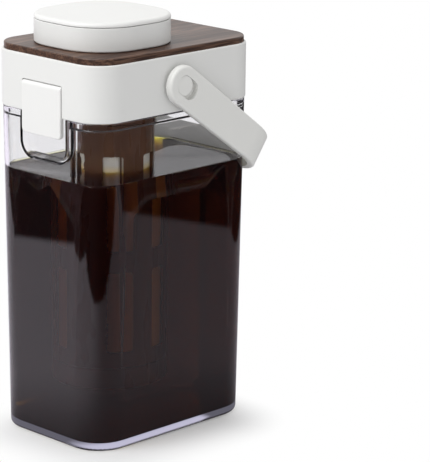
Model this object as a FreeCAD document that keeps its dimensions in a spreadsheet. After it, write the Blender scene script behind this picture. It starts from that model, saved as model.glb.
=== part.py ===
"""Cold brew coffee maker: a tall clear jug under a white collar lid with a wood-effect top,
a lift-out knob, a swinging bail handle, a hinged spout flap and a hanging brown filter.

Frame: X along the long side with the spout at -X, Y across, Z up.  The origin is the centre of
the jug's base, on the surface that it stands on.  All sizes are millimetres.
"""
import FreeCAD, Part
import math
import os
import Sketcher
from FreeCAD import Placement, Rotation, Vector

os.makedirs("parts", exist_ok=True)
doc = FreeCAD.newDocument("cold_brew_maker")

# ---------------------------------------------------------------------------------------------
# Driving dimensions
# ---------------------------------------------------------------------------------------------

SIZES = {
    # jug: a tapered clear moulding, whose plain rim goes up inside the collar
    "base_len": 122.4, "base_wid": 86, "base_rad": 20, "base_edge": 3,
    "shoulder_len": 124, "shoulder_wid": 89, "shoulder_rad": 17.6, "shoulder_edge": 0.9,
    "wall": 2.4, "floor_top": 4, "floor_edge": 5, "neck_low": 184.5, "neck_edge": 0.8,
    "mouth_len": 115.6, "mouth_wid": 80.6, "mouth_rad": 13.3, "rim_wall": 2.4, "rim_top": 202,
    # finger recess under the spout, and the pour notch in the rim behind it
    "recess_half": 18.4, "recess_low": 164, "recess_back": 56.6, "recess_corner": 8,
    "recess_taper": 10, "recess_edge": 0.8, "recess_inner": 1.4, "recess_wall": 2,
    "recess_flare": 0.45,
    "notch_half": 13, "notch_low": 194, "mouth_corner": 1.2,
    # collar
    "collar_len": 125, "collar_wid": 90, "collar_rad": 18, "collar_foot": 189,
    "collar_top": 221, "collar_wall": 2, "deck_thick": 2, "collar_edge": 0.8,
    # wood-effect plate let into the collar's top
    "plate_inset": 1.2, "plate_sink": 1.5, "plate_thick": 5.1, "plate_gap": 0.1,
    "plate_edge": 0.8,
    # knob, and the well below it
    "knob_x": -17.3, "knob_len": 71, "knob_wid": 70, "knob_rad": 28, "knob_foot_gap": 0.2,
    "knob_seam": 13.6, "knob_seam_gap": 0.3, "knob_cap_thick": 2.5, "knob_edge": 2,
    "knob_foot_edge": 1, "knob_seam_edge": 0.4, "knob_wall": 2.4,
    "well_len": 62, "well_wid": 61, "well_rad": 23.5, "well_wall": 1.5,
    "plug_gap": 1, "plug_low": 212.5, "plug_top": 230.5, "seal_groove": 1.2,
    "knob_seal_low": 214, "knob_seal_high": 217,
    # lining plate under the deck, and the flat gasket between it and the jug's rim
    "liner_low": 203.5, "liner_thick": 2.5, "liner_gap": 0.4, "gasket_in": 106,
    "gasket_in_wid": 75, "gasket_in_x": 4.5,
    # spout pocket, flap and chute
    "flap_half": 16, "flap_face": 63.6, "flap_back": 61, "flap_low": 177.2,
    "flap_top": 206.7, "flap_round": 2.2, "flap_corner": 2.5, "flap_edge": 0.8, "flap_gap": 0.35,
    "seat_corner": 1.2,
    "flap_axis_x": 61.4, "flap_axis_z": 204.5, "flap_pin_rad": 0.6, "flap_pin_play": 0.05,
    "flap_groove_rad": 2.55, "pocket_floor": 60.7, "pocket_top": 207.2, "pocket_wall": 58.3,
    "spout_half": 12, "spout_low": 192, "spout_high": 201, "chute_wall": 1.2,
    "chute_end": 57.3, "chute_low": 189.8, "weld": 0.5,
    # bail handle and its two pins
    "pivot_x": -2, "pivot_z": 204.5, "strap_rad": 11.2, "strap_half": 10, "strap_thick": 4.2,
    "bail_reach": 92, "bail_half": 51, "bail_corner": 25.5, "bail_droop": 35.9,
    "bail_edge": 1.6, "key_rad": 5.6, "key_travel": 4.8, "key_depth": 3.2,
    "key_flat": 0.8,
    "pin_rad": 3, "pin_play": 0.06, "pin_head_rad": 5.5, "pin_head": 3, "pin_end": 43.1,
    "pad_rad": 8, "pad_gap": 0.2,
    # hanging filter
    "filter_x": -9.6, "filter_turn": -43, "filter_rad": 23, "filter_bore": 21,
    "filter_foot": 28, "filter_low": 41, "filter_top": 180, "neck_rad": 20.2,
    "neck_bore": 18.4, "neck_top": 190, "thread_gap": 0.3, "holder_gap": 0.4,
    "holder_ledge": 191.4, "holder_neck": 21, "holder_top": 208, "holder_bore": 17.5,
    "mesh_thick": 0.5, "mesh_gap": 0.05, "window_wide": 10.8, "window_corner": 1.5,
    "window_low": 50, "window_low_high": 47, "window_up": 109, "window_up_high": 53,
    "window_count": 6, "ledge_low": 46.6, "ledge_thick": 1.8, "cap_neck_top": 45.2,
    "cap_floor": 2.5, "cap_edge": 2, "ring_gap": 0.2, "neck_land": 4, "tube_edge": 0.4,
}

sheet = doc.addObject("Spreadsheet::Sheet", "Sizes")
for row, (alias, value) in enumerate(SIZES.items(), start=1):
    sheet.set("A%d" % row, alias)
    sheet.set("B%d" % row, str(value))
    sheet.setAlias("B%d" % row, alias)
doc.recompute()


def formula(text):
    """Turn a formula in the sheet's words into one that any object of the document reads."""
    words = text.replace("(", " ( ").replace(")", " ) ").split()
    return " ".join("Sizes." + word if word in SIZES else word for word in words)


def size(text):
    """The number that a formula in the sheet's words comes to."""
    return float(sheet.evalExpression(formula(text).replace("Sizes.", "")))


# ---------------------------------------------------------------------------------------------
# Bodies, sketches and features
# ---------------------------------------------------------------------------------------------

parts = []


def new_body(label):
    body = doc.addObject("PartDesign::Body", label)
    body.Label = label
    parts.append(body)
    return body


def origin_feature(body, role):
    return next(feature for feature in body.Origin.OriginFeatures if feature.Role == role)


def new_sketch(body, role, name, along="0", across="0", up="0"):
    """A sketch on one of the body's own planes, moved along its normal and in the plane."""
    sketch = body.newObject("Sketcher::SketchObject", name)
    sketch.AttachmentSupport = [(origin_feature(body, role), "")]
    sketch.MapMode = "FlatFace"
    for axis, text in (("z", along), ("x", across), ("y", up)):
        if text != "0":
            sketch.setExpression("AttachmentOffset.Base." + axis, formula(text))
    return sketch


def constrain(sketch, value_text, *terms):
    """Add a dimension and bind it to the sheet; a negative one is drawn the other way round."""
    kind, first, second = terms[0], terms[1:3], terms[3:5]
    value = size(value_text)
    if kind == "Radius":
        index = sketch.addConstraint(Sketcher.Constraint(kind, terms[1], value))
    elif value < 0:
        value_text = "-1 * ( %s )" % value_text
        index = sketch.addConstraint(Sketcher.Constraint(kind, *second, *first, -value))
    else:
        index = sketch.addConstraint(Sketcher.Constraint(kind, *first, *second, value))
    sketch.setExpression("Constraints[%d]" % index, formula(value_text))


def tie(sketch, kind, *terms):
    sketch.addConstraint(Sketcher.Constraint(kind, *terms))


def add_arc(sketch, x, y, radius, start, end):
    ring = Part.Circle(Vector(x, y, 0), Vector(0, 0, 1), radius)
    sketch.addGeometry(Part.ArcOfCircle(ring, math.radians(start), math.radians(end)))


def rounded_rect(sketch, length, width, radius):
    """A rectangle with round corners, centred on the sketch's origin."""
    a, b, r = size(length) / 2, size(width) / 2, size(radius)
    corners = [(a - r, -b + r, 270), (a - r, b - r, 0), (-a + r, b - r, 90), (-a + r, -b + r, 180)]
    sides = [((-a + r, -b), (a - r, -b)), ((a, -b + r), (a, b - r)),
             ((a - r, b), (-a + r, b)), ((-a, b - r), (-a, -b + r))]
    first = sketch.GeometryCount
    for start, end in sides:
        sketch.addGeometry(Part.LineSegment(Vector(*start, 0), Vector(*end, 0)))
    for x, y, start in corners:
        add_arc(sketch, x, y, r, start, start + 90)
    for i in range(4):
        side, corner, following = first + i, first + 4 + i, first + (i + 1) % 4
        tie(sketch, "Tangent", side, 2, corner, 1)
        tie(sketch, "Tangent", corner, 2, following, 1)
        tie(sketch, "Horizontal" if i % 2 == 0 else "Vertical", side)
    for i in range(1, 4):
        tie(sketch, "Equal", first + 4, first + 4 + i)
    tie(sketch, "Symmetric", first + 4, 3, first + 6, 3, -1, 1)
    constrain(sketch, radius, "Radius", first + 4)
    constrain(sketch, length, "DistanceX", first + 3, 1, first + 1, 1)
    constrain(sketch, width, "DistanceY", first, 1, first + 2, 1)


def polygon(sketch, points):
    """Straight edges through points, each given by two formulas."""
    values = [(size(x), size(y)) for x, y in points]
    first = sketch.GeometryCount
    count = len(points)
    for i in range(count):
        start, end = values[i], values[(i + 1) % count]
        sketch.addGeometry(Part.LineSegment(Vector(*start, 0), Vector(*end, 0)))
    for i in range(count):
        tie(sketch, "Coincident", first + i, 2, first + (i + 1) % count, 1)
    for i, (x, y) in enumerate(points):
        for kind, text, axis in (("DistanceX", x, -2), ("DistanceY", y, -1)):
            if abs(size(text)) < 1e-9:
                tie(sketch, "PointOnObject", first + i, 1, axis)
            else:
                constrain(sketch, text, kind, -1, 1, first + i, 1)


def circle(sketch, radius, x="0", y="0"):
    index = sketch.addGeometry(Part.Circle(Vector(size(x), size(y), 0), Vector(0, 0, 1),
                                           size(radius)))
    constrain(sketch, radius, "Radius", index)
    for kind, text, axis in (("DistanceX", x, -2), ("DistanceY", y, -1)):
        if abs(size(text)) < 1e-9:
            tie(sketch, "PointOnObject", index, 3, axis)
        else:
            constrain(sketch, text, kind, -1, 1, index, 3)


def pad(body, sketch, length, both_ways=False, reverse=False, taper=""):
    feature = body.newObject("PartDesign::Pad", sketch.Name + "_pad")
    feature.Profile = sketch
    feature.setExpression("Length", formula(length))
    feature.SideType = "Symmetric" if both_ways else "One side"
    feature.Reversed = reverse
    if taper:
        feature.setExpression("TaperAngle", formula(taper))
    sketch.Visibility = False
    doc.recompute()
    return feature


def pocket(body, sketch, length, both_ways=False, reverse=False, taper=""):
    """Cut the sketch out of the body, and stop the build if it removes nothing."""
    before = body.Shape.Volume
    feature = body.newObject("PartDesign::Pocket", sketch.Name + "_pocket")
    feature.Profile = sketch
    feature.setExpression("Length", formula(length))
    feature.SideType = "Symmetric" if both_ways else "One side"
    feature.Reversed = reverse
    if taper:
        feature.setExpression("TaperAngle", formula(taper))
    doc.recompute()
    if not body.Shape.Volume < before - 0.1:
        raise RuntimeError("%s: pocket %s cuts nothing" % (body.Label, sketch.Name))
    return feature


def loft(body, kind, low, high):
    feature = body.newObject("PartDesign::" + kind, low.Name + "_loft")
    feature.Profile = low
    feature.Sections = [high]
    feature.Ruled = True
    doc.recompute()
    return feature


def revolve(body, sketch):
    """Turn a profile of radius and height once round the sketch's upright axis."""
    feature = body.newObject("PartDesign::Revolution", sketch.Name + "_turn")
    feature.Profile = sketch
    feature.ReferenceAxis = (sketch, ["V_Axis"])
    feature.Angle = 360
    doc.recompute()
    return feature


def round_edges(body, radius, wanted):
    """Fillet the edges of the body's tip whose bounding box passes the wanted test."""
    tip = body.Tip
    names = ["Edge%d" % (i + 1) for i, edge in enumerate(tip.Shape.Edges)
             if wanted(edge.BoundBox)]
    if not names:
        raise RuntimeError("%s: no edge to round" % body.Label)
    feature = body.newObject("PartDesign::Fillet", body.Label + "_edges")
    feature.Base = (tip, names)
    feature.setExpression("Radius", formula(radius))
    doc.recompute()
    return feature


def at_level(box, level):
    """True for an edge that lies flat at one height."""
    return abs(box.ZMin - level) < 0.01 and abs(box.ZMax - level) < 0.01


# ---------------------------------------------------------------------------------------------
# Jug: an even, tapered wall, a rim that steps in at the shoulder, and the finger recess
# ---------------------------------------------------------------------------------------------

def make_jug():
    body = new_body("jug")
    foot = new_sketch(body, "XY_Plane", "jug_foot")
    rounded_rect(foot, "base_len", "base_wid", "base_rad")
    shoulder = new_sketch(body, "XY_Plane", "jug_shoulder", along="collar_foot")
    rounded_rect(shoulder, "shoulder_len", "shoulder_wid", "shoulder_rad")
    loft(body, "AdditiveLoft", foot, shoulder)
    rim = new_sketch(body, "XY_Plane", "jug_rim", along="collar_foot")
    rounded_rect(rim, "mouth_len + 2 * rim_wall", "mouth_wid + 2 * rim_wall",
                 "mouth_rad + rim_wall")
    pad(body, rim, "rim_top - collar_foot")
    round_edges(body, "base_edge", lambda box: at_level(box, 0))
    rim_x, rim_y = size("mouth_len / 2 + rim_wall") + 0.01, size("mouth_wid / 2 + rim_wall") + 0.01
    round_edges(body, "shoulder_edge", lambda box: at_level(box, size("collar_foot"))
                and (max(-box.XMin, box.XMax) > rim_x or max(-box.YMin, box.YMax) > rim_y))

    floor = new_sketch(body, "XY_Plane", "jug_floor", along="floor_top")
    rounded_rect(floor, "base_len - 2 * wall", "base_wid - 2 * wall", "base_rad - wall")
    ceiling = new_sketch(body, "XY_Plane", "jug_ceiling", along="neck_low")
    rounded_rect(ceiling, "shoulder_len - 2 * wall", "shoulder_wid - 2 * wall",
                 "shoulder_rad - wall")
    loft(body, "SubtractiveLoft", floor, ceiling)
    round_edges(body, "floor_edge", lambda box: at_level(box, size("floor_top")))
    mouth = new_sketch(body, "XY_Plane", "jug_mouth", along="rim_top")
    rounded_rect(mouth, "mouth_len", "mouth_wid", "mouth_rad")
    pocket(body, mouth, "rim_top - neck_low + 1")
    round_edges(body, "neck_edge", lambda box: at_level(box, size("neck_low")))

    back_wall = new_sketch(body, "YZ_Plane", "recess_wall_outline", along="-1 * base_len / 2 + 1",
                           up="rim_top")
    rounded_rect(back_wall, "2 * ( recess_half + recess_wall )",
                 "2 * ( rim_top - recess_low + recess_wall )", "recess_corner + recess_wall")
    pad(body, back_wall, "base_len / 2 - 1 - recess_back + recess_wall", taper="-1 * recess_taper")
    top = new_sketch(body, "XY_Plane", "rim_trim", along="rim_top")
    rounded_rect(top, "collar_len", "collar_wid", "collar_rad")
    pocket(body, top, "rim_top", reverse=True)
    inner_x = -1 * size("recess_back - recess_wall")
    round_edges(body, "recess_inner",
                lambda box: box.XMin > inner_x - 0.01 and box.XMax < inner_x + 0.01
                and box.ZMin < size("rim_top") - 1)

    recess = new_sketch(body, "YZ_Plane", "recess_outline", along="-1 * flap_face", up="rim_top")
    rounded_rect(recess, "2 * ( recess_half + recess_flare )",
                 "2 * ( rim_top - recess_low + recess_flare )", "recess_corner")
    pocket(body, recess, "flap_face - recess_back", reverse=True, taper="-1 * recess_taper")
    outer_x = -1 * size("recess_back")
    round_edges(body, "recess_edge",
                lambda box: box.XMin > outer_x - 0.01 and box.XMax < outer_x + 0.01
                and box.ZMin < size("rim_top") - 1)
    notch = new_sketch(body, "YZ_Plane", "pour_notch", along="-1 * recess_back + recess_wall + 1",
                       up="rim_top")
    rounded_rect(notch, "2 * notch_half", "2 * ( rim_top - notch_low )", "mouth_corner")
    pocket(body, notch, "recess_wall + 2", reverse=False)


# ---------------------------------------------------------------------------------------------
# Collar: a white shell with a deck, spout pocket and chute, and round pads for the handle's pins
# ---------------------------------------------------------------------------------------------

def make_collar_shell():
    body = new_body("collar_shell")
    outline = new_sketch(body, "XY_Plane", "collar_outline", along="collar_foot")
    rounded_rect(outline, "collar_len", "collar_wid", "collar_rad")
    pad(body, outline, "collar_top - collar_foot")
    round_edges(body, "collar_edge",
                lambda box: at_level(box, size("collar_foot")) or at_level(box, size("collar_top")))

    hollow = new_sketch(body, "XY_Plane", "collar_hollow", along="collar_foot")
    rounded_rect(hollow, "collar_len - 2 * collar_wall", "collar_wid - 2 * collar_wall",
                 "collar_rad - collar_wall")
    pocket(body, hollow, "collar_top - plate_sink - deck_thick - collar_foot", reverse=True)
    seat = new_sketch(body, "XY_Plane", "plate_seat", along="collar_top")
    rounded_rect(seat, "collar_len - 2 * plate_inset", "collar_wid - 2 * plate_inset",
                 "collar_rad - plate_inset")
    pocket(body, seat, "plate_sink")
    well = new_sketch(body, "XY_Plane", "deck_well", along="collar_top", across="knob_x")
    rounded_rect(well, "well_len", "well_wid", "well_rad")
    pocket(body, well, "plate_sink + deck_thick")

    backing = new_sketch(body, "YZ_Plane", "spout_backing", along="-1 * pocket_wall",
                         up="collar_foot")
    half = "flap_half + flap_gap + chute_wall"
    polygon(backing, [("-1 * ( %s )" % half, "collar_edge"), (half, "collar_edge"),
                      (half, "pocket_top + chute_wall - collar_foot"),
                      ("-1 * ( %s )" % half, "pocket_top + chute_wall - collar_foot")])
    pad(body, backing, "collar_len / 2 - collar_wall - pocket_wall + weld", reverse=True)
    chute = new_sketch(body, "YZ_Plane", "chute_section", along="-1 * chute_end")
    wide = "spout_half + chute_wall"
    polygon(chute, [("-1 * ( %s )" % wide, "chute_low"), (wide, "chute_low"),
                    (wide, "spout_high"), ("spout_half", "spout_high"),
                    ("spout_half", "chute_low + chute_wall"),
                    ("-1 * spout_half", "chute_low + chute_wall"),
                    ("-1 * spout_half", "spout_high"), ("-1 * ( %s )" % wide, "spout_high")])
    pad(body, chute, "pocket_wall - chute_end + weld", reverse=True)

    seat_high = "( pocket_top - collar_foot + 2 * seat_corner )"
    flap_seat = new_sketch(body, "YZ_Plane", "flap_seat", along="-1 * collar_len / 2 - 1",
                           up="pocket_top - %s / 2" % seat_high)
    rounded_rect(flap_seat, "2 * ( flap_half + flap_gap )", seat_high, "seat_corner")
    pocket(body, flap_seat, "collar_len / 2 + 1 - pocket_floor", reverse=True)
    mouth = new_sketch(body, "YZ_Plane", "spout_mouth", along="-1 * collar_len / 2",
                       up="( spout_low + spout_high ) / 2")
    rounded_rect(mouth, "2 * spout_half", "spout_high - spout_low", "mouth_corner")
    pocket(body, mouth, "collar_len / 2 - pocket_wall + 1", reverse=True)
    groove = new_sketch(body, "XZ_Plane", "flap_groove")
    circle(groove, "flap_groove_rad", "-1 * flap_axis_x", "flap_axis_z")
    pocket(body, groove, "2 * ( flap_half + flap_gap )", both_ways=True)
    pin_hole = new_sketch(body, "XZ_Plane", "flap_pin_hole")
    circle(pin_hole, "flap_pin_rad", "-1 * flap_axis_x", "flap_axis_z")
    pocket(body, pin_hole, "2 * ( flap_half + flap_gap + chute_wall )", both_ways=True)

    for side, reverse in (("left", False), ("right", True)):
        sign = "1" if side == "left" else "-1"
        ring = new_sketch(body, "XZ_Plane", side + "_ring",
                          along=sign + " * ( collar_wid / 2 - collar_wall / 2 )")
        circle(ring, "pad_rad", "pivot_x", "pivot_z")
        pad(body, ring, "bail_half - strap_thick - pad_gap - collar_wid / 2 + collar_wall / 2",
            reverse=reverse)
    pivot_hole = new_sketch(body, "XZ_Plane", "pivot_hole")
    circle(pivot_hole, "pin_rad", "pivot_x", "pivot_z")
    pocket(body, pivot_hole, "2 * bail_half", both_ways=True)


# ---------------------------------------------------------------------------------------------
# Lid: lining plate, gasket and wood-effect top
# ---------------------------------------------------------------------------------------------

def clear_spout(body, low, name):
    """Cut a flat lid piece back from the spout's backing wall."""
    relief = new_sketch(body, "XY_Plane", name, along=low)
    reach = "flap_half + flap_gap + chute_wall + liner_gap"
    inner = "-1 * ( pocket_wall - liner_gap )"
    polygon(relief, [("-1 * collar_len / 2", "-1 * ( %s )" % reach),
                     (inner, "-1 * ( %s )" % reach), (inner, reach),
                     ("-1 * collar_len / 2", reach)])
    pocket(body, relief, "collar_top - rim_top", reverse=True)


def make_lid_liner():
    body = new_body("lid_liner")
    plate = new_sketch(body, "XY_Plane", "liner_plate", along="liner_low")
    rounded_rect(plate, "collar_len - 2 * ( collar_wall + liner_gap )",
                 "collar_wid - 2 * ( collar_wall + liner_gap )",
                 "collar_rad - collar_wall - liner_gap")
    pad(body, plate, "liner_thick")
    wall = new_sketch(body, "XY_Plane", "well_wall", along="liner_low", across="knob_x")
    rounded_rect(wall, "well_len + 2 * well_wall", "well_wid + 2 * well_wall",
                 "well_rad + well_wall")
    pad(body, wall, "collar_top - plate_sink - deck_thick - liner_low")
    well = new_sketch(body, "XY_Plane", "liner_well", along="liner_low + liner_thick",
                      across="knob_x")
    rounded_rect(well, "well_len", "well_wid", "well_rad")
    pocket(body, well, "collar_top - liner_low", reverse=True)
    mouth = new_sketch(body, "XY_Plane", "filter_mouth", along="liner_low")
    circle(mouth, "holder_neck", "filter_x")
    pocket(body, mouth, "liner_thick + 1", reverse=True)
    clear_spout(body, "liner_low", "liner_relief")


def make_jug_seal():
    body = new_body("jug_seal")
    outline = new_sketch(body, "XY_Plane", "gasket_outline", along="rim_top")
    rounded_rect(outline, "collar_len - 2 * ( collar_wall + liner_gap )",
                 "collar_wid - 2 * ( collar_wall + liner_gap )",
                 "collar_rad - collar_wall - liner_gap")
    pad(body, outline, "liner_low - rim_top")
    inside = new_sketch(body, "XY_Plane", "gasket_inside", along="rim_top", across="gasket_in_x")
    rounded_rect(inside, "gasket_in", "gasket_in_wid", "mouth_rad")
    pocket(body, inside, "liner_low - rim_top", reverse=True)
    clear_spout(body, "rim_top", "gasket_relief")


def make_top_plate():
    body = new_body("top_plate")
    outline = new_sketch(body, "XY_Plane", "plate_outline", along="collar_top - plate_sink")
    rounded_rect(outline, "collar_len - 2 * ( plate_inset + plate_gap )",
                 "collar_wid - 2 * ( plate_inset + plate_gap )",
                 "collar_rad - plate_inset - plate_gap")
    pad(body, outline, "plate_thick")
    top = size("collar_top - plate_sink + plate_thick")
    round_edges(body, "plate_edge", lambda box: at_level(box, top))
    well = new_sketch(body, "XY_Plane", "plate_well", along="collar_top - plate_sink",
                      across="knob_x")
    rounded_rect(well, "well_len", "well_wid", "well_rad")
    pocket(body, well, "plate_thick", reverse=True)


# ---------------------------------------------------------------------------------------------
# Knob: skirt, cap, inner plug and its sealing ring
# ---------------------------------------------------------------------------------------------

PLATE_TOP = "collar_top - plate_sink + plate_thick"
SEAM = PLATE_TOP + " + knob_seam"
KNOB_TOP = SEAM + " + knob_seam_gap + knob_cap_thick"


def make_knob_skirt():
    body = new_body("knob_skirt")
    outline = new_sketch(body, "XY_Plane", "skirt_outline", along=PLATE_TOP + " + knob_foot_gap",
                         across="knob_x")
    rounded_rect(outline, "knob_len", "knob_wid", "knob_rad")
    pad(body, outline, "knob_seam - knob_foot_gap")
    foot, seam = size(PLATE_TOP + " + knob_foot_gap"), size(SEAM)
    round_edges(body, "knob_foot_edge", lambda box: at_level(box, foot))
    round_edges(body, "knob_seam_edge", lambda box: at_level(box, seam))
    inside = new_sketch(body, "XY_Plane", "skirt_inside", along=PLATE_TOP, across="knob_x")
    rounded_rect(inside, "knob_len - 2 * knob_wall", "knob_wid - 2 * knob_wall",
                 "knob_rad - knob_wall")
    pocket(body, inside, "plug_top - ( %s )" % PLATE_TOP, reverse=True)
    recess = new_sketch(body, "XY_Plane", "skirt_recess", along=SEAM, across="knob_x")
    rounded_rect(recess, "knob_len - 2 * knob_wall", "knob_wid - 2 * knob_wall",
                 "knob_rad - knob_wall")
    pocket(body, recess, "%s - plug_top - knob_wall" % SEAM)


def make_knob_cap():
    body = new_body("knob_cap")
    outline = new_sketch(body, "XY_Plane", "cap_outline", along=SEAM + " + knob_seam_gap",
                         across="knob_x")
    rounded_rect(outline, "knob_len", "knob_wid", "knob_rad")
    pad(body, outline, "knob_cap_thick")
    top, seam = size(KNOB_TOP), size(SEAM + " + knob_seam_gap")
    round_edges(body, "knob_edge", lambda box: at_level(box, top))
    round_edges(body, "knob_seam_edge", lambda box: at_level(box, seam))
    spigot = new_sketch(body, "XY_Plane", "cap_spigot", along="plug_top + knob_wall",
                        across="knob_x")
    rounded_rect(spigot, "knob_len - 2 * knob_wall - 2 * plate_gap",
                 "knob_wid - 2 * knob_wall - 2 * plate_gap", "knob_rad - knob_wall - plate_gap")
    pad(body, spigot, "%s + knob_seam_gap - plug_top - knob_wall" % SEAM)


def make_knob_plug():
    body = new_body("knob_plug")
    outline = new_sketch(body, "XY_Plane", "plug_outline", along="plug_low", across="knob_x")
    rounded_rect(outline, "well_len - 2 * plug_gap", "well_wid - 2 * plug_gap",
                 "well_rad - plug_gap")
    pad(body, outline, "plug_top - plug_low")
    round_edges(body, "plug_gap", lambda box: at_level(box, size("plug_low")))
    hollow = new_sketch(body, "XY_Plane", "plug_hollow", along="plug_top", across="knob_x")
    rounded_rect(hollow, "well_len - 2 * plug_gap - 2 * knob_wall - 2 * seal_groove",
                 "well_wid - 2 * plug_gap - 2 * knob_wall - 2 * seal_groove",
                 "well_rad - plug_gap - knob_wall - seal_groove")
    pocket(body, hollow, "plug_top - plug_low - knob_wall")
    seat = new_sketch(body, "XY_Plane", "seal_seat", along="knob_seal_low", across="knob_x")
    rounded_rect(seat, "well_len + 2 * well_wall", "well_wid + 2 * well_wall",
                 "well_rad + well_wall")
    rounded_rect(seat, "well_len - 2 * plug_gap - 2 * seal_groove",
                 "well_wid - 2 * plug_gap - 2 * seal_groove", "well_rad - plug_gap - seal_groove")
    pocket(body, seat, "knob_seal_high - knob_seal_low", reverse=True)


def make_knob_seal():
    body = new_body("knob_seal")
    ring = new_sketch(body, "XY_Plane", "knob_seal_ring", along="knob_seal_low", across="knob_x")
    rounded_rect(ring, "well_len - 2 * thread_gap", "well_wid - 2 * thread_gap",
                 "well_rad - thread_gap")
    rounded_rect(ring, "well_len - 2 * plug_gap - 2 * seal_groove",
                 "well_wid - 2 * plug_gap - 2 * seal_groove", "well_rad - plug_gap - seal_groove")
    pad(body, ring, "knob_seal_high - knob_seal_low")


# ---------------------------------------------------------------------------------------------
# Spout flap and its hinge pin
# ---------------------------------------------------------------------------------------------

def make_spout_flap():
    body = new_body("spout_flap")
    plate = new_sketch(body, "YZ_Plane", "flap_plate", along="-1 * flap_back")
    polygon(plate, [("-1 * flap_half", "flap_low"), ("flap_half", "flap_low"),
                    ("flap_half", "flap_top - flap_round"),
                    ("-1 * flap_half", "flap_top - flap_round")])
    pad(body, plate, "flap_face - flap_back", reverse=True)
    barrel = new_sketch(body, "XZ_Plane", "flap_barrel")
    circle(barrel, "flap_round", "-1 * flap_face + flap_round", "flap_top - flap_round")
    pad(body, barrel, "2 * flap_half", both_ways=True)
    round_edges(body, "flap_corner", lambda box: box.YLength < 0.01 and box.ZLength < 0.01
                and abs(box.ZMin - size("flap_low")) < 0.01)
    face_x = -1 * size("flap_face")
    round_edges(body, "flap_edge",
                lambda box: box.XMax < face_x + 0.01 and box.ZMin < size("spout_low"))
    grip = new_sketch(body, "YZ_Plane", "flap_grip", along="-1 * flap_back",
                      up="( flap_low + spout_low ) / 2")
    rounded_rect(grip, "2 * flap_half - 2 * flap_corner", "spout_low - flap_low - 2 * chute_wall",
                 "flap_corner")
    pocket(body, grip, "( flap_face - flap_back ) / 2")
    bore = new_sketch(body, "XZ_Plane", "flap_bore")
    circle(bore, "flap_pin_rad + flap_pin_play", "-1 * flap_axis_x", "flap_axis_z")
    pocket(body, bore, "2 * flap_half + 2", both_ways=True)


def make_flap_pin():
    body = new_body("flap_hinge_pin")
    section = new_sketch(body, "XZ_Plane", "flap_pin_section")
    circle(section, "flap_pin_rad", "-1 * flap_axis_x", "flap_axis_z")
    pad(body, section, "2 * ( flap_half + flap_gap + chute_wall )", both_ways=True)


# ---------------------------------------------------------------------------------------------
# Bail handle, drawn level and then turned down about its pins, and the pins themselves
# ---------------------------------------------------------------------------------------------

def strap_outline(sketch):
    """Side view of the strap: round about the pin, tapering to an open end past the crossbar."""
    radius, half = size("strap_rad"), size("strap_half")
    end = size("bail_reach + strap_thick")
    first = sketch.GeometryCount
    add_arc(sketch, 0, 0, radius, 90, 270)
    sketch.addGeometry(Part.LineSegment(Vector(0, -radius, 0), Vector(end, -half, 0)))
    sketch.addGeometry(Part.LineSegment(Vector(end, -half, 0), Vector(end, half, 0)))
    sketch.addGeometry(Part.LineSegment(Vector(end, half, 0), Vector(0, radius, 0)))
    tie(sketch, "Tangent", first, 2, first + 1, 1)
    tie(sketch, "Coincident", first + 1, 2, first + 2, 1)
    tie(sketch, "Coincident", first + 2, 2, first + 3, 1)
    tie(sketch, "Tangent", first + 3, 2, first, 1)
    tie(sketch, "Coincident", first, 3, -1, 1)
    tie(sketch, "Vertical", first + 2)
    constrain(sketch, "strap_rad", "Radius", first)
    constrain(sketch, "bail_reach + strap_thick", "DistanceX", -1, 1, first + 2, 1)
    constrain(sketch, "strap_half", "DistanceY", -1, 1, first + 2, 2)
    constrain(sketch, "-1 * strap_half", "DistanceY", -1, 1, first + 2, 1)


def make_handle_bail():
    body = new_body("handle_bail")
    ring = new_sketch(body, "XY_Plane", "bail_ring")
    rounded_rect(ring, "2 * bail_reach", "2 * bail_half", "bail_corner")
    rounded_rect(ring, "2 * ( bail_reach - strap_thick )", "2 * ( bail_half - strap_thick )",
                 "bail_corner - strap_thick")
    pad(body, ring, "2 * strap_rad", both_ways=True)
    outside = new_sketch(body, "XZ_Plane", "strap_outside")
    frame = "2 * bail_reach"
    polygon(outside, [("-1 * " + frame, "-1 * " + frame), (frame, "-1 * " + frame),
                      (frame, frame), ("-1 * " + frame, frame)])
    strap_outline(outside)
    pocket(body, outside, "4 * bail_half", both_ways=True)
    for face, radius in (("bail_half", "bail_edge"), ("bail_half - strap_thick", "tube_edge")):
        y = size(face)
        round_edges(body, radius, lambda box: box.YLength < 0.01 and abs(abs(box.YMin) - y) < 0.01)

    for side, reverse in (("left", True), ("right", False)):
        sign = "1" if side == "left" else "-1"
        key = new_sketch(body, "XZ_Plane", side + "_key", along=sign + " * bail_half",
                         across="key_travel / 2")
        rounded_rect(key, "2 * key_rad + key_travel", "2 * key_rad", "key_rad - key_flat / 2")
        pocket(body, key, "key_depth", reverse=not reverse)
    hole = new_sketch(body, "XZ_Plane", "bail_pin_hole")
    circle(hole, "pin_rad + pin_play")
    pocket(body, hole, "4 * bail_half", both_ways=True)
    body.setExpression("Placement.Base.x", formula("pivot_x"))
    body.setExpression("Placement.Base.z", formula("pivot_z"))
    body.setExpression("Placement.Rotation.Axis.x", "0")
    body.setExpression("Placement.Rotation.Axis.y", "1")
    body.setExpression("Placement.Rotation.Axis.z", "0")
    body.setExpression("Placement.Rotation.Angle", formula("bail_droop"))


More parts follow.
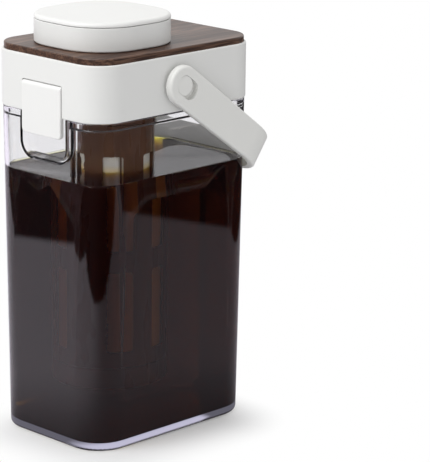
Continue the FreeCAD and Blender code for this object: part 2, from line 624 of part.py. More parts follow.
def make_pivot_pins():
    """Headed pins pressed into the collar's pads, their heads sunk in the strap's keyhole."""
    under_head = "bail_half - key_depth + plate_gap"
    cylinders = (("shank", "pin_rad", "pin_end", under_head),
                 ("head", "pin_head_rad", under_head, "bail_half - key_depth + pin_head"))
    for side, sign in (("left", -1), ("right", 1)):
        outward = Rotation(Vector(1, 0, 0), -90 * sign)
        pieces = []
        for name, radius, start, end in cylinders:
            piece = doc.addObject("Part::Cylinder", "%s_pin_%s" % (side, name))
            piece.setExpression("Radius", formula(radius))
            piece.setExpression("Height", formula("%s - ( %s )" % (end, start)))
            piece.Placement = Placement(Vector(), outward)
            piece.setExpression("Placement.Base.x", formula("pivot_x"))
            piece.setExpression("Placement.Base.y", formula("%d * ( %s )" % (sign, start)))
            piece.setExpression("Placement.Base.z", formula("pivot_z"))
            pieces.append(piece)
        pin = doc.addObject("Part::MultiFuse", "pivot_pin_" + side)
        pin.Shapes = pieces
        pin.Refine = True
        pin.Label = "pivot_pin_" + side
        parts.append(pin)


# ---------------------------------------------------------------------------------------------
# Filter: holder, slotted tube, mesh sleeve, bottom cap and two silicone rings, all turned
# about the filter's own upright axis
# ---------------------------------------------------------------------------------------------

def turned_body(label, profile):
    """A ring or tube from (radius, height) formulas, standing on the filter's axis."""
    body = new_body(label)
    sketch = new_sketch(body, "XZ_Plane", label + "_profile")
    polygon(sketch, profile)
    revolve(body, sketch)
    body.setExpression("Placement.Base.x", formula("filter_x"))
    return body


def make_filter_holder():
    low = "filter_top + holder_gap"
    turned_body("filter_holder", [
        ("neck_rad + thread_gap", low), ("filter_rad", low), ("filter_rad", "liner_low"),
        ("holder_neck", "liner_low"), ("holder_neck", "holder_top"),
        ("holder_bore", "holder_top"), ("holder_bore", "holder_ledge"),
        ("neck_rad + thread_gap", "holder_ledge")])


def make_filter_frame():
    ledge_top = "ledge_low + ledge_thick"
    mesh_top = "filter_top - neck_land"
    body = turned_body("filter_frame", [
        ("neck_rad + thread_gap", "filter_low"), ("filter_rad", "filter_low"),
        ("filter_rad", "filter_top"), ("neck_rad", "filter_top"), ("neck_rad", "neck_top"),
        ("neck_bore", "neck_top"), ("neck_bore", mesh_top), ("filter_bore", mesh_top),
        ("filter_bore", ledge_top), ("neck_bore", ledge_top), ("neck_bore", "ledge_low"),
        ("neck_rad + thread_gap", "ledge_low")])
    foot = size("filter_low")
    round_edges(body, "tube_edge", lambda box: at_level(box, foot)
                and box.XMax > size("filter_rad") - 0.01)
    cuts = []
    for name, low, high in (("lower_window", "window_low", "window_low_high"),
                            ("upper_window", "window_up", "window_up_high")):
        window = new_sketch(body, "XZ_Plane", name, up="%s + %s / 2" % (low, high))
        rounded_rect(window, "window_wide", high, "window_corner")
        cuts.append(pocket(body, window, "filter_rad + 1", reverse=True))
    pattern = body.newObject("PartDesign::PolarPattern", "window_ring")
    pattern.Originals = cuts
    pattern.Axis = (origin_feature(body, "Z_Axis"), [""])
    pattern.Angle = 360
    pattern.setExpression("Occurrences", formula("window_count"))
    body.Tip = pattern
    body.setExpression("Placement.Rotation.Angle", formula("filter_turn"))


def make_filter_mesh():
    low, high = "ledge_low + ledge_thick + ring_gap", "filter_top - neck_land - ring_gap"
    outer = "filter_bore - mesh_gap"
    turned_body("filter_mesh", [
        (outer + " - mesh_thick", low), (outer, low), (outer, high),
        (outer + " - mesh_thick", high)])


def make_filter_cap():
    body = turned_body("filter_bottom_cap", [
        ("0", "filter_foot"), ("filter_rad", "filter_foot"),
        ("filter_rad", "filter_low - holder_gap"), ("neck_rad", "filter_low - holder_gap"),
        ("neck_rad", "cap_neck_top"), ("neck_bore", "cap_neck_top"),
        ("neck_bore", "filter_foot + cap_floor"), ("0", "filter_foot + cap_floor")])
    foot = size("filter_foot")
    round_edges(body, "cap_edge", lambda box: at_level(box, foot))


def make_silicone_rings():
    turned_body("filter_seal", [
        ("neck_bore", "neck_top + ring_gap"), ("neck_rad", "neck_top + ring_gap"),
        ("neck_rad", "holder_ledge - ring_gap"), ("neck_bore", "holder_ledge - ring_gap")])
    turned_body("bottom_cap_seal", [
        ("neck_bore", "cap_neck_top + ring_gap"), ("neck_rad", "cap_neck_top + ring_gap"),
        ("neck_rad", "ledge_low - ring_gap"), ("neck_bore", "ledge_low - ring_gap")])


# ---------------------------------------------------------------------------------------------
# Build, check and write
# ---------------------------------------------------------------------------------------------

make_jug()
make_collar_shell()
make_lid_liner()
make_jug_seal()
make_top_plate()
make_knob_skirt()
make_knob_cap()
make_knob_plug()
make_knob_seal()
make_spout_flap()
make_flap_pin()
make_handle_bail()
make_pivot_pins()
make_filter_holder()
make_filter_frame()
make_filter_mesh()
make_filter_cap()
make_silicone_rings()

doc.recompute()
for obj in doc.Objects:
    if "Invalid" in obj.State or "Error" in obj.State:
        raise RuntimeError("%s is %s" % (obj.Label, obj.State))
for part in parts:
    shape = part.Shape
    if shape.isNull() or not shape.isValid() or len(shape.Solids) != 1:
        raise RuntimeError("%s is not one valid solid" % part.Label)
    shape.exportStep("parts/%s.step" % part.Label)
    print("%-18s %8.2f cm3" % (part.Label, shape.Volume / 1000))
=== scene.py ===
"""Cold brew coffee maker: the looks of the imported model, and the coffee that stands in its jug."""

import bpy
from mathutils import Matrix, Vector


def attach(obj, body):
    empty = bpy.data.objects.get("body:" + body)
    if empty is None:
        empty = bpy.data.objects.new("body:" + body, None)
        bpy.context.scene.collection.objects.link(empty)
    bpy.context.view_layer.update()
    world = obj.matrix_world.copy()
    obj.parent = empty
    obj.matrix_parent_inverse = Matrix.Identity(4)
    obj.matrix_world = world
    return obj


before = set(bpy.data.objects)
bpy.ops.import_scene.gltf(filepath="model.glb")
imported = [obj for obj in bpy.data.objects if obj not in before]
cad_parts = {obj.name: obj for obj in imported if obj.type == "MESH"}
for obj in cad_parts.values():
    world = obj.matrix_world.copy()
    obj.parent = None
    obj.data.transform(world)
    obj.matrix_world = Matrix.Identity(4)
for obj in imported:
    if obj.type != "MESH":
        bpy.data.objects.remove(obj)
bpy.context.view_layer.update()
bpy.ops.object.select_all(action="DESELECT")

# ------------------------------------------------------------------------------------------
# Jug.  A clear injection moulding in a copolyester, polished inside and out, with a faint
# cool tint that shows in the thick floor and corners.  Below the coffee's surface its inner
# face is wet, so it bends light far less there than where it meets air.
# ------------------------------------------------------------------------------------------

FILL_LEVEL = 0.1528
CREEP = 0.0012                         # how far the coffee climbs the wall
PLASTIC_IOR = 1.52
COFFEE_IOR = 1.34
JUG_TINT = (0.99, 0.987, 0.996, 1)
JUG_PASSES = (0.30, 0.32, 0.70, 1)
JUG_DENSITY = 4
JUG_SHADE = (0.97, 0.97, 0.98, 1)      # what the wall lets through to what stands behind it
WALL_FOOT = (0.0600, 0.0418, 0.0188)   # half length, half width and corner radius mid-wall
WALL_GROWS = (0.0042, 0.0079, -0.0127)   # and how much each grows in a metre of height
FLOOR_MIDDLE = 0.002


def fresh_material(name):
    """An empty node material with its output."""
    material = bpy.data.materials.new(name)
    material.use_nodes = True
    tree = material.node_tree
    tree.nodes.clear()
    return material, tree, tree.nodes.new("ShaderNodeOutputMaterial")


def feed(tree, node, sockets):
    """Set a node's sockets, each to a plain value or to a link from another socket."""
    for name, value in sockets.items():
        if isinstance(value, bpy.types.NodeSocket):
            tree.links.new(value, node.inputs[name])
        elif value is not None:
            node.inputs[name].default_value = value
    return node


def new_node(tree, kind, sockets):
    """A new node with its sockets set."""
    return feed(tree, tree.nodes.new("ShaderNode" + kind), sockets)


def sum_node(tree, operation, first, second=None, third=None):
    """One Math node on numbers or sockets."""
    node = tree.nodes.new("ShaderNodeMath")
    node.operation = operation
    return feed(tree, node, dict(enumerate((first, second, third)))).outputs[0]


def product(tree, first, second):
    """Two numbers or sockets multiplied."""
    return sum_node(tree, "MULTIPLY", first, second)


def shader_mix(tree, amount, first, second):
    """One shader mixed into another."""
    return new_node(tree, "MixShader", {0: amount, 1: first, 2: second}).outputs[0]


def object_vector(tree):
    """The Object coordinates of the shaded point."""
    return tree.nodes.new("ShaderNodeTexCoord").outputs["Object"]


def object_position(tree):
    """The same, one by one."""
    return tuple(new_node(tree, "SeparateXYZ", {0: object_vector(tree)}).outputs)


def inside_rounded_box(tree, x, y, half_length, half_width, radius):
    """1 where a point lies within an upright box with round corners."""
    squares = []
    for place, half in ((x, half_length), (y, half_width)):
        flat = sum_node(tree, "SUBTRACT", half, radius)
        over = sum_node(tree, "SUBTRACT", sum_node(tree, "ABSOLUTE", place), flat)
        over = sum_node(tree, "MAXIMUM", over, 0.0)
        squares.append(product(tree, over, over))
    reach = sum_node(tree, "SQRT", sum_node(tree, "ADD", *squares))
    return sum_node(tree, "LESS_THAN", reach, radius)


def let_lamps_through(tree, shader, colour):
    """Mix in a Transparent shader for shadow rays, so that lamps reach what is inside."""
    path = tree.nodes.new("ShaderNodeLightPath")
    passing = new_node(tree, "BsdfTransparent", {"Color": colour})
    return shader_mix(tree, path.outputs["Is Shadow Ray"], shader, passing.outputs[0])


def dress(node_name, material):
    """Give a CAD node its finished material."""
    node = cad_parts[node_name]
    if not node.material_slots:
        node.data.materials.append(material)
    for place in node.material_slots:
        place.material = material


clear_jug, tree, output = fresh_material("clear copolyester")
x, y, z = object_position(tree)
wall_box = [sum_node(tree, "MULTIPLY_ADD", z, grows, at_foot)
            for at_foot, grows in zip(WALL_FOOT, WALL_GROWS)]
inner_face = inside_rounded_box(tree, x, y, *wall_box)
above_floor = sum_node(tree, "GREATER_THAN", z, FLOOR_MIDDLE)
below_fill = sum_node(tree, "LESS_THAN", z, FILL_LEVEL + CREEP)
wet = product(tree, product(tree, inner_face, above_floor), below_fill)
plastic = new_node(tree, "BsdfPrincipled", {"Base Color": JUG_TINT, "Roughness": 0.0,
                                            "Transmission Weight": 1.0, "IOR": PLASTIC_IOR})
feed(tree, plastic, {"IOR": sum_node(tree, "MULTIPLY_ADD", wet,
                                     PLASTIC_IOR / COFFEE_IOR - PLASTIC_IOR, PLASTIC_IOR)})
cast = new_node(tree, "VolumeAbsorption", {"Color": JUG_PASSES, "Density": JUG_DENSITY})
feed(tree, output, {"Surface": let_lamps_through(tree, plastic.outputs[0], JUG_SHADE),
                    "Volume": cast.outputs[0]})
dress("jug", clear_jug)

# ------------------------------------------------------------------------------------------
# Coffee.  Cold brew that stands a little below the finger recess.  It is taken from the jug's
# own inner face, so that it wets it all over, with a meniscus that creeps up the wall, and a
# little fine silt that makes it faintly cloudy.
# ------------------------------------------------------------------------------------------

WELD = 1e-6
WETTING = 0.00012                      # how far the coffee reaches into the wall it wets
COFFEE_PASSES = (0.878, 0.828, 0.10, 1)
COFFEE_DENSITY = 440
COFFEE_CLEAR = (1, 1, 1, 1)
FINES = (0.45, 0.05, 0.04, 1)
CLOUDINESS = 0.009
NO_BEND = 1.0001                       # against the wall, the jug's own index does the bending
OPEN_TOP = 0.1                         # a face that looks up more than this meets the air
FEW_SIDES = 12                         # the open surface, one face with many sides, stays flat
MENISCUS = ((0.00025, 0.0005), (0.0004, 0.00035), (0.0007, 0.0002), (0.0012, 0.00012),
            (0.002, 0.00003))          # each step's way in from the wall, and down


def within_wall(point):
    """True for a point inside the middle of the jug's wall at its height."""
    half_length, half_width, radius = (at_foot + grows * point.z
                                       for at_foot, grows in zip(WALL_FOOT, WALL_GROWS))
    over_x = max(abs(point.x) - half_length + radius, 0)
    over_y = max(abs(point.y) - half_width + radius, 0)
    return over_x * over_x + over_y * over_y < radius * radius


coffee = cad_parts["jug"].copy()
coffee.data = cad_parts["jug"].data.copy()
coffee.name = coffee.data.name = "coffee"
coffee.parent = None
for key in list(coffee.keys()):
    del coffee[key]
coffee.data.materials.clear()
bpy.context.collection.objects.link(coffee)
bpy.context.view_layer.objects.active = coffee
coffee.select_set(True)
bpy.ops.object.mode_set(mode="EDIT")
bpy.ops.mesh.select_all(action="SELECT")
bpy.ops.mesh.remove_doubles(threshold=WELD)
bpy.ops.mesh.select_all(action="DESELECT")
bpy.ops.object.mode_set(mode="OBJECT")
for face in coffee.data.polygons:
    face.select = not (within_wall(face.center) and face.center.z > FLOOR_MIDDLE)
bpy.ops.object.mode_set(mode="EDIT")
bpy.ops.mesh.delete(type="FACE")
bpy.ops.mesh.select_all(action="SELECT")
bpy.ops.mesh.bisect(plane_co=(0, 0, FILL_LEVEL + CREEP), plane_no=(0, 0, 1), clear_outer=True,
                    use_fill=True)
bpy.ops.mesh.select_all(action="SELECT")
bpy.ops.mesh.normals_make_consistent(inside=False)
bpy.ops.mesh.select_all(action="DESELECT")
bpy.ops.object.mode_set(mode="OBJECT")
surface = max(coffee.data.polygons, key=lambda face: face.center.z)
surface.select = True
bpy.ops.object.mode_set(mode="EDIT")
level = FILL_LEVEL + CREEP
for width, drop in MENISCUS:
    level -= drop
    bpy.ops.mesh.extrude_region_move(TRANSFORM_OT_translate={"value": (0, 0, -drop)})
    closer = (1 - width / WALL_FOOT[0], 1 - width / WALL_FOOT[1], 1)
    bpy.ops.transform.resize(value=closer, center_override=(0, 0, level))
bpy.ops.mesh.select_all(action="SELECT")
bpy.ops.transform.shrink_fatten(value=WETTING)
bpy.ops.mesh.select_all(action="DESELECT")
bpy.ops.object.mode_set(mode="OBJECT")
for face in coffee.data.polygons:
    face.use_smooth = len(face.vertices) < FEW_SIDES
coffee.select_set(False)

brew, tree, output = fresh_material("cold brew coffee")
facing = tree.nodes.new("ShaderNodeTexCoord").outputs["Normal"]
upward = new_node(tree, "SeparateXYZ", {0: facing}).outputs[2]
open_top = sum_node(tree, "GREATER_THAN", upward, OPEN_TOP)
liquid = new_node(tree, "BsdfPrincipled", {"Base Color": COFFEE_CLEAR, "Roughness": 0.0,
                                           "Transmission Weight": 1.0, "IOR": COFFEE_IOR})
feed(tree, liquid, {"IOR": sum_node(tree, "MULTIPLY_ADD", open_top, COFFEE_IOR - NO_BEND,
                                    NO_BEND)})
fines = new_node(tree, "BsdfDiffuse", {"Color": FINES})
cloudy = shader_mix(tree, CLOUDINESS, liquid.outputs[0], fines.outputs[0])
depth_colour = new_node(tree, "VolumeAbsorption", {"Color": COFFEE_PASSES,
                                                   "Density": COFFEE_DENSITY})
feed(tree, output, {"Surface": let_lamps_through(tree, cloudy, COFFEE_CLEAR),
                    "Volume": depth_colour.outputs[0]})
coffee.data.materials.append(brew)
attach(coffee, "jug")

# ------------------------------------------------------------------------------------------
# Lid: the white ABS collar with its deck, and the lining plate and gasket under it.  The
# plastic has a very fine spark-eroded texture that gives a soft satin.  The gasket, and the
# rings of knob and filter too, are of one milky silicone.
# ------------------------------------------------------------------------------------------

WHITE = (0.80, 0.80, 0.785, 1)
WHITE_SHADE = (0.76, 0.76, 0.745, 1)
WHITE_SATIN, WHITE_TOOTH = 0.42, 0.25
WHITE_IOR = 1.5
DRIFT_SCALE, TOOTH_SCALE = 18, 2600
TOOTH_HEIGHT = 0.00005
GLOSS_SPREAD = 0.1
SILICONE = (0.74, 0.74, 0.73, 1)
SILICONE_DIM = 0.93                    # how dark its cloudy places are
CLOUD_SCALE = 120
GLOW_DEPTH = 0.002


def noise(tree, place, scale, detail=2, **more):
    """Soft noise between 0 and 1; further sockets go in by name."""
    sockets = {"Vector": place, "Scale": scale, "Detail": detail, **more}
    return new_node(tree, "TexNoise", sockets).outputs["Fac"]


def colour_mix(tree, amount, first, second):
    """One colour turning into another."""
    node = tree.nodes.new("ShaderNodeMix")
    node.data_type = "RGBA"
    return feed(tree, node, {"Factor": amount, "A": first, "B": second}).outputs["Result"]


def relief(tree, pattern, strength, height):
    """Fine relief from a pattern."""
    return new_node(tree, "Bump", {"Strength": strength, "Distance": height,
                                   "Height": pattern}).outputs[0]


def opaque_body(tree, output, sockets):
    """A Principled shader on the material's surface."""
    body = new_node(tree, "BsdfPrincipled", sockets)
    feed(tree, output, {"Surface": body.outputs[0]})


def white_plastic(name, light, dark, roughness, grain):
    """White moulded plastic: a slow drift in shade, a fine tooth, and softly varied gloss."""
    material, tree, output = fresh_material(name)
    place = object_vector(tree)
    drift = noise(tree, place, DRIFT_SCALE, 3)
    tooth = noise(tree, place, TOOTH_SCALE)
    gloss = sum_node(tree, "MULTIPLY_ADD", drift, GLOSS_SPREAD, roughness - GLOSS_SPREAD / 2)
    opaque_body(tree, output, {"Base Color": colour_mix(tree, drift, light, dark),
                               "Roughness": gloss, "IOR": WHITE_IOR,
                               "Normal": relief(tree, tooth, grain, TOOTH_HEIGHT)})
    return material


collar_white = white_plastic("satin white ABS", WHITE, WHITE_SHADE, WHITE_SATIN, WHITE_TOOTH)
dress("collar_shell", collar_white)
dress("lid_liner", collar_white)

silicone, tree, output = fresh_material("milky silicone")
cloud = noise(tree, object_vector(tree), CLOUD_SCALE)
dim = [SILICONE_DIM * channel for channel in SILICONE[:3]] + [1]
opaque_body(tree, output, {"Base Color": colour_mix(tree, cloud, SILICONE, dim),
                           "Roughness": 0.5, "Subsurface Weight": 0.3,
                           "Subsurface Radius": [GLOW_DEPTH] * 3})
for ring in ("jug_seal", "knob_seal", "filter_seal", "bottom_cap_seal"):
    dress(ring, silicone)

# ------------------------------------------------------------------------------------------
# Top plate.  A moulded plate covered in walnut film, grain along the long side, with the
# satin of a sealed film and a softly rounded rim.
# ------------------------------------------------------------------------------------------

WALNUT_DARK = (0.040, 0.018, 0.012, 1)
WALNUT_MIDDLE = (0.108, 0.054, 0.034, 1)
WALNUT_LIGHT = (0.205, 0.112, 0.072, 1)
DARK_AT, MIDDLE_AT, LIGHT_AT = 0.32, 0.5, 0.72
GRAIN_STRETCH = (0.06, 1, 1.3)
GRAIN_TILT = (0, 0, 0.03)
FIGURE_SCALE, BAND_SCALE, PORE_SCALE = 190, 55, 900
BAND_SHARE, BAND_SHIFT = 0.45, -0.22
PORE_CONTRAST, PORE_SHIFT = 5.0, -1.9
SHEEN_FALL, SHEEN = -0.15, 0.46
GRAIN_RELIEF, GRAIN_HEIGHT = 0.35, 0.00012


def stretched(tree, scale, **more):
    """Object coordinates squeezed or stretched along the axes."""
    sockets = {"Vector": object_vector(tree), "Scale": scale, **more}
    return new_node(tree, "Mapping", sockets).outputs[0]


walnut, tree, output = fresh_material("walnut film")
along = stretched(tree, GRAIN_STRETCH, Rotation=GRAIN_TILT)
figure = noise(tree, along, FIGURE_SCALE, 5, Roughness=0.6, Distortion=0.4)
bands = sum_node(tree, "MULTIPLY_ADD", noise(tree, along, BAND_SCALE), BAND_SHARE, BAND_SHIFT)
grain = sum_node(tree, "ADD", figure, bands)
ramp = tree.nodes.new("ShaderNodeValToRGB")
ramp.color_ramp.elements[0].position = DARK_AT
ramp.color_ramp.elements[0].color = WALNUT_DARK
ramp.color_ramp.elements[1].position = LIGHT_AT
ramp.color_ramp.elements[1].color = WALNUT_LIGHT
ramp.color_ramp.elements.new(MIDDLE_AT).color = WALNUT_MIDDLE
feed(tree, ramp, {"Fac": grain})
pores = sum_node(tree, "MULTIPLY_ADD", noise(tree, along, PORE_SCALE), PORE_CONTRAST, PORE_SHIFT)
pores.node.use_clamp = True
wood = colour_mix(tree, pores, WALNUT_DARK, ramp.outputs["Color"])
opaque_body(tree, output, {"Base Color": wood,
                           "Roughness": sum_node(tree, "MULTIPLY_ADD", grain, SHEEN_FALL, SHEEN),
                           "Normal": relief(tree, grain, GRAIN_RELIEF, GRAIN_HEIGHT)})
dress("top_plate", walnut)

# ------------------------------------------------------------------------------------------
# Knob, which lifts out of the lid: a skirt and a snapped-in cap in the collar's white plastic,
# on a plug of the same that a silicone ring holds in its well.
# ------------------------------------------------------------------------------------------

for part in ("knob_skirt", "knob_cap", "knob_plug"):
    dress(part, collar_white)

# ------------------------------------------------------------------------------------------
# Spout flap.  Moulded in white ABS, a touch brighter than the collar's, and hung from the
# collar on a straight pin of drawn steel wire.
# ------------------------------------------------------------------------------------------

FLAP_WHITE = (0.84, 0.838, 0.825, 1)
FLAP_SHADE = (0.80, 0.798, 0.785, 1)
FLAP_SATIN, FLAP_TOOTH = 0.38, 0.2
STEEL_DARK = (0.5, 0.5, 0.5, 1)
STEEL_LIGHT = (0.68, 0.68, 0.67, 1)
ALONG_WIRE = (1, 0.02, 1)
DRAWN_LINES = 9000

flap_white = white_plastic("bright white ABS", FLAP_WHITE, FLAP_SHADE, FLAP_SATIN, FLAP_TOOTH)
dress("spout_flap", flap_white)

wire, tree, output = fresh_material("drawn steel wire")
lines = noise(tree, stretched(tree, ALONG_WIRE), DRAWN_LINES)
opaque_body(tree, output, {"Base Color": colour_mix(tree, lines, STEEL_DARK, STEEL_LIGHT),
                           "Metallic": 1.0, "Roughness": 0.3})
dress("flap_hinge_pin", wire)

# ------------------------------------------------------------------------------------------
# Bail handle.  One moulding in tough white polypropylene, a little warmer and waxier than the
# collar, that turns on two headed pins of the same, pressed into the collar's sides.
# ------------------------------------------------------------------------------------------

HANDLE_WHITE = (0.815, 0.815, 0.79, 1)
HANDLE_SHADE = (0.78, 0.78, 0.755, 1)
HANDLE_SATIN, HANDLE_TOOTH = 0.46, 0.15

handle_white = white_plastic("warm white polypropylene", HANDLE_WHITE, HANDLE_SHADE,
                             HANDLE_SATIN, HANDLE_TOOTH)
for part in ("handle_bail", "pivot_pin_left", "pivot_pin_right"):
    dress(part, handle_white)

# ------------------------------------------------------------------------------------------
# Filter, which screws into its holder under the lid: brown polypropylene holder, slotted tube
# and cap, smooth with faint flow marks, and the fine white nylon mesh behind the slots, stained
# where the coffee stands in it.
# ------------------------------------------------------------------------------------------

BROWN = (0.150, 0.066, 0.034, 1)
BROWN_SHADE = (0.105, 0.045, 0.024, 1)
DOWN_THE_FLOW = (1, 1, 0.15)
FLOW_SCALE = 160
FLOW_SPREAD, FLOW_GLOSS = 0.12, 0.22

brown, tree, output = fresh_material("brown polypropylene")
streaks = noise(tree, stretched(tree, DOWN_THE_FLOW), FLOW_SCALE, 3)
gloss = sum_node(tree, "MULTIPLY_ADD", streaks, FLOW_SPREAD, FLOW_GLOSS)
opaque_body(tree, output, {"Base Color": colour_mix(tree, streaks, BROWN, BROWN_SHADE),
                           "Roughness": gloss})
for part in ("filter_holder", "filter_frame", "filter_bottom_cap"):
    dress(part, brown)

WEAVE = 6600                           # radians of the threads' waves in a metre
MESH_RADIUS = 0.021
FILTER_X = -0.0096
THREAD_RELIEF, THREAD_HEIGHT = 0.5, 0.0001
STAIN_TOP = FILL_LEVEL + 0.004
STAIN_EDGE = 250.0                     # it fades in one part in so many of a metre
NYLON_THREAD = (0.90, 0.89, 0.86, 1)
NYLON_GAP = (0.72, 0.71, 0.68, 1)
STAINED = (0.90, 0.74, 0.42, 1)

nylon, tree, output = fresh_material("nylon mesh")
x, y, z = object_position(tree)
around = sum_node(tree, "ARCTAN2", y, sum_node(tree, "SUBTRACT", x, FILTER_X))
warp = sum_node(tree, "SINE", product(tree, around, WEAVE * MESH_RADIUS))
weft = sum_node(tree, "SINE", product(tree, z, WEAVE))
weave = sum_node(tree, "MULTIPLY_ADD", warp, 0.25,
                 sum_node(tree, "MULTIPLY_ADD", weft, 0.25, 0.5))
stain = product(tree, sum_node(tree, "SUBTRACT", STAIN_TOP, z), STAIN_EDGE)
stain.node.use_clamp = True
dry = colour_mix(tree, weave, NYLON_GAP, NYLON_THREAD)
opaque_body(tree, output, {"Base Color": colour_mix(tree, stain, dry, STAINED),
                           "Roughness": 0.8,
                           "Normal": relief(tree, weave, THREAD_RELIEF, THREAD_HEIGHT)})
dress("filter_mesh", nylon)

# ------------------------------------------------------------------------------------------
# Studio: a white table, a big soft lamp high on the left, and a bright backdrop.  In the jug's
# gloss the table is a painted reflection, brighter on the left and painted darker near the jug;
# table and backdrop end in the dark there, which keeps it deep.  The table reaches a hair into
# the jug's foot, and under the foot it glows as a painted glint that shows in the clear base.
# ------------------------------------------------------------------------------------------

RIGHT = Vector((0.70322, -0.71088, 0.0113))
UP = Vector((0.17620, 0.18965, 0.96591))
BACK = Vector((-0.68879, -0.67726, 0.25862))
WHITE_LIGHT = (1, 1, 1, 1)
TABLE_SIZE = 6
BEDDING = 0.0001
TABLE_PAPER = (0.86, 0.86, 0.87, 1)
TABLE_ACROSS = Vector((0.947, -0.322))
TABLE_HALF = 0.424
TABLE_FRONT = 0.33
EDGE_SOFT = 0.01
# The table's painted reflection: dark beyond its edges, its tint, brighter on the left, and painted
# darker near the jug.
BEYOND_TABLE = 0.06
PAINTED_TABLE_REFLECTION = (0.92, 0.87, 0.97, 1)
TABLE_BRIGHT, TABLE_DIM = 1.04, 0.44
BRIGHT_TO_DIM = (-0.12, 0.05)
SHADE_MIDDLE = (-0.013, -0.014)
SHADE_HALF = (0.040, 0.025)
SHADE_REACH = 0.13
SHADE_DEEPEST = 0.45
# Where the table's painted white glow takes over from the lamp's real shadow, straight on and seen
# through the wall.
SHADOW_FADE = (0.006, 0.05)
THROUGH_FADE = (0.03, 0.11)
# The painted glint under the jug's foot: the footprint where it glows, its tint, and where it is
# brightest.
FOOT_MIDDLE = (0.0, 0.0)
FOOTPRINT = (0.059, 0.041)
ON_FOOTPRINT = 0.0001
GLINT = (0.56, 0.545, 0.68, 1)
GLINT_LOW = 0.20
GLINT_SIDE = (-0.010, -0.026)
GLINT_END = (0.036, 0.028)


def along_node(tree, x, y, way):
    """How far a point lies along a level direction."""
    return sum_node(tree, "MULTIPLY_ADD", x, way.x, product(tree, y, way.y))


def ramp_node(tree, value, start, end, low=0.0, high=1.0, shape="SMOOTHSTEP"):
    """A step of a socket from one value to another, soft or straight."""
    step = tree.nodes.new("ShaderNodeMapRange")
    step.interpolation_type = shape
    feed(tree, step, {"Value": value, "From Min": start, "From Max": end, "To Min": low,
                      "To Max": high})
    return step.outputs["Result"]


def distance_out(tree, x, y, middle, halves):
    """How far a point of the table lies outside a level rectangle."""
    squares = []
    for place, centre, half in zip((x, y), middle, halves):
        over = sum_node(tree, "ABSOLUTE", sum_node(tree, "SUBTRACT", place, centre))
        over = sum_node(tree, "MAXIMUM", sum_node(tree, "SUBTRACT", over, half), 0.0)
        squares.append(product(tree, over, over))
    return sum_node(tree, "SQRT", sum_node(tree, "ADD", *squares))


def glowing(tree, colour, strength=1.0):
    """An Emission shader."""
    return new_node(tree, "Emission", {"Color": colour, "Strength": strength}).outputs[0]


def seen_mirrored(tree, path):
    """1 for a ray that has been mirrored in something glossy."""
    return sum_node(tree, "GREATER_THAN", path.outputs["Glossy Depth"], 0.5)


bpy.ops.mesh.primitive_plane_add(size=TABLE_SIZE, location=(0, 0, BEDDING))
table = bpy.context.object
table.name = "table"
paper, tree, output = fresh_material("table paper")
sheet = new_node(tree, "BsdfPrincipled", {"Base Color": TABLE_PAPER, "Roughness": 0.9,
                                          "Specular IOR Level": 0.1})
path = tree.nodes.new("ShaderNodeLightPath")
through = path.outputs["Is Transmission Ray"]
x, y, _ = object_position(tree)
level_right = RIGHT.xy.normalized()
level_back = -BACK.xy.normalized()
aside, deep, across = (along_node(tree, x, y, way)
                       for way in (level_right, level_back, TABLE_ACROSS))
past_side = ramp_node(tree, sum_node(tree, "ABSOLUTE", across), TABLE_HALF + EDGE_SOFT,
                      TABLE_HALF - EDGE_SOFT)
past_front = ramp_node(tree, deep, -TABLE_FRONT - EDGE_SOFT, -TABLE_FRONT + EDGE_SOFT)
on_table = product(tree, past_side, past_front)
# What glossy rays see of the table is a painted reflection: a glow that ends in the dark past the
# table's edges, brighter on the left, and painted darker near the jug.
table_or_beyond = sum_node(tree, "MULTIPLY_ADD", on_table, 1 - BEYOND_TABLE, BEYOND_TABLE)
lit_side = ramp_node(tree, aside, *BRIGHT_TO_DIM, TABLE_BRIGHT, TABLE_DIM)
away = distance_out(tree, x, y, SHADE_MIDDLE, SHADE_HALF)
in_shade = ramp_node(tree, away, 0.0, SHADE_REACH, SHADE_DEEPEST, 1.0)
painted_reflection_level = product(tree, product(tree, table_or_beyond, lit_side), in_shade)
# Straight on and through the clear wall, the table glows plain white a little way from the jug. This
# is a painted brightness over the lamp's real shadow, which then shows only close to the jug and
# reaches further out in front of it than behind it.
white_seen = product(tree, path.outputs["Is Camera Ray"], ramp_node(tree, away, *SHADOW_FADE))
white_through = product(tree, through, ramp_node(tree, away, *THROUGH_FADE))
whiten = sum_node(tree, "MAXIMUM", white_seen, white_through)
bright = shader_mix(tree, whiten, sheet.outputs[0], glowing(tree, WHITE_LIGHT))
# Seen through the clear base, the table under the jug's foot is a painted glint: a lavender glow,
# brightest under the front long side and faint elsewhere.
off_foot = distance_out(tree, x, y, FOOT_MIDDLE, FOOTPRINT)
under_jug = sum_node(tree, "LESS_THAN", off_foot, ON_FOOTPRINT)
near_front = product(tree, ramp_node(tree, y, *GLINT_SIDE), ramp_node(tree, x, *GLINT_END))
glint_level = sum_node(tree, "MULTIPLY_ADD", near_front, 1 - GLINT_LOW, GLINT_LOW)
through_foot = shader_mix(tree, product(tree, through, under_jug), bright,
                          glowing(tree, GLINT, glint_level))
# The painted reflection of the table, for glossy rays.
painted_reflection = glowing(tree, PAINTED_TABLE_REFLECTION, painted_reflection_level)
feed(tree, output, {"Surface": shader_mix(tree, seen_mirrored(tree, path), through_foot,
                                          painted_reflection)})
table.data.materials.append(paper)

AMBIENT = 0.68
BACKDROP_RISE = (-0.15, 0.35)
OVERHEAD_RISE = (0.35, 0.75)
MIRRORED_RISE, MIRRORED_DARK = 0.97, 0.015

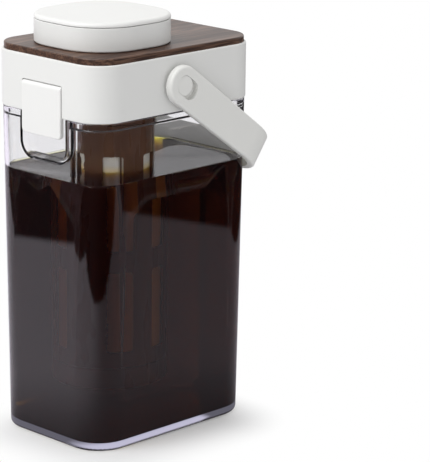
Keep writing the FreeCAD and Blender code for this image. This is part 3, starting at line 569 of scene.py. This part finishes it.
world = bpy.data.worlds.new("studio")
bpy.context.scene.world = world
world.use_nodes = True
tree = world.node_tree
tree.nodes.clear()
output = tree.nodes.new("ShaderNodeOutputWorld")
path = tree.nodes.new("ShaderNodeLightPath")
direction = tree.nodes.new("ShaderNodeTexCoord").outputs["Generated"]
toward_back = tree.nodes.new("ShaderNodeVectorMath")
toward_back.operation = "DOT_PRODUCT"
feed(tree, toward_back, {0: direction, 1: (level_back.x, level_back.y, 0)})
far = ramp_node(tree, toward_back.outputs["Value"], *BACKDROP_RISE, shape="LINEAR")
upward = new_node(tree, "SeparateXYZ", {0: direction}).outputs[2]
overhead = ramp_node(tree, upward, *OVERHEAD_RISE, shape="LINEAR")
lit = sum_node(tree, "MAXIMUM", far, overhead)
mirrored = seen_mirrored(tree, path)
straight = sum_node(tree, "MAXIMUM", path.outputs["Is Camera Ray"],
                    path.outputs["Is Transmission Ray"])
plain = product(tree, straight, sum_node(tree, "SUBTRACT", 1.0, mirrored))
strength = tree.nodes.new("ShaderNodeMix")
strength.data_type = "FLOAT"
feed(tree, strength, {
    "Factor": mirrored,
    "A": sum_node(tree, "MULTIPLY_ADD", plain, 1.0 - AMBIENT, AMBIENT),
    "B": sum_node(tree, "MULTIPLY_ADD", lit, MIRRORED_RISE, MIRRORED_DARK)})
sky = new_node(tree, "Background", {"Color": WHITE_LIGHT,
                                    "Strength": strength.outputs["Result"]})
feed(tree, output, {"Surface": sky.outputs[0]})

LAMP_PLACE = Vector((-0.72, 0.10, 1.08))
LAMP_AIM = Vector((0, 0, 0.12))
LAMP_SIDE = 0.9
LAMP_POWER = 8.7

bpy.ops.object.light_add(type="AREA")
lamp = bpy.context.object
lamp.name = "soft lamp"
lamp.data.shape = "RECTANGLE"
lamp.data.size = LAMP_SIDE
lamp.data.size_y = LAMP_SIDE
lamp.data.energy = LAMP_POWER
lamp.location = LAMP_PLACE
lamp.rotation_euler = (LAMP_PLACE - LAMP_AIM).to_track_quat("Z", "Y").to_euler()

CAMERA_PLACE = (-0.92437, -0.98185, 0.47276)
FOCAL_PIXELS = 2423.7
PICTURE_HEIGHT = 462
SENSOR = 36.0
CLIP_NEAR, CLIP_FAR = 0.05, 20

bpy.ops.object.camera_add()
camera = bpy.context.object
turn = Matrix((RIGHT, UP, BACK)).transposed().to_4x4()
camera.matrix_world = Matrix.Translation(CAMERA_PLACE) @ turn
camera.data.sensor_width = SENSOR
camera.data.lens = FOCAL_PIXELS * SENSOR / PICTURE_HEIGHT
camera.data.clip_start = CLIP_NEAR
camera.data.clip_end = CLIP_FAR
bpy.context.scene.camera = camera
bpy.context.scene.view_settings.view_transform = "Standard"
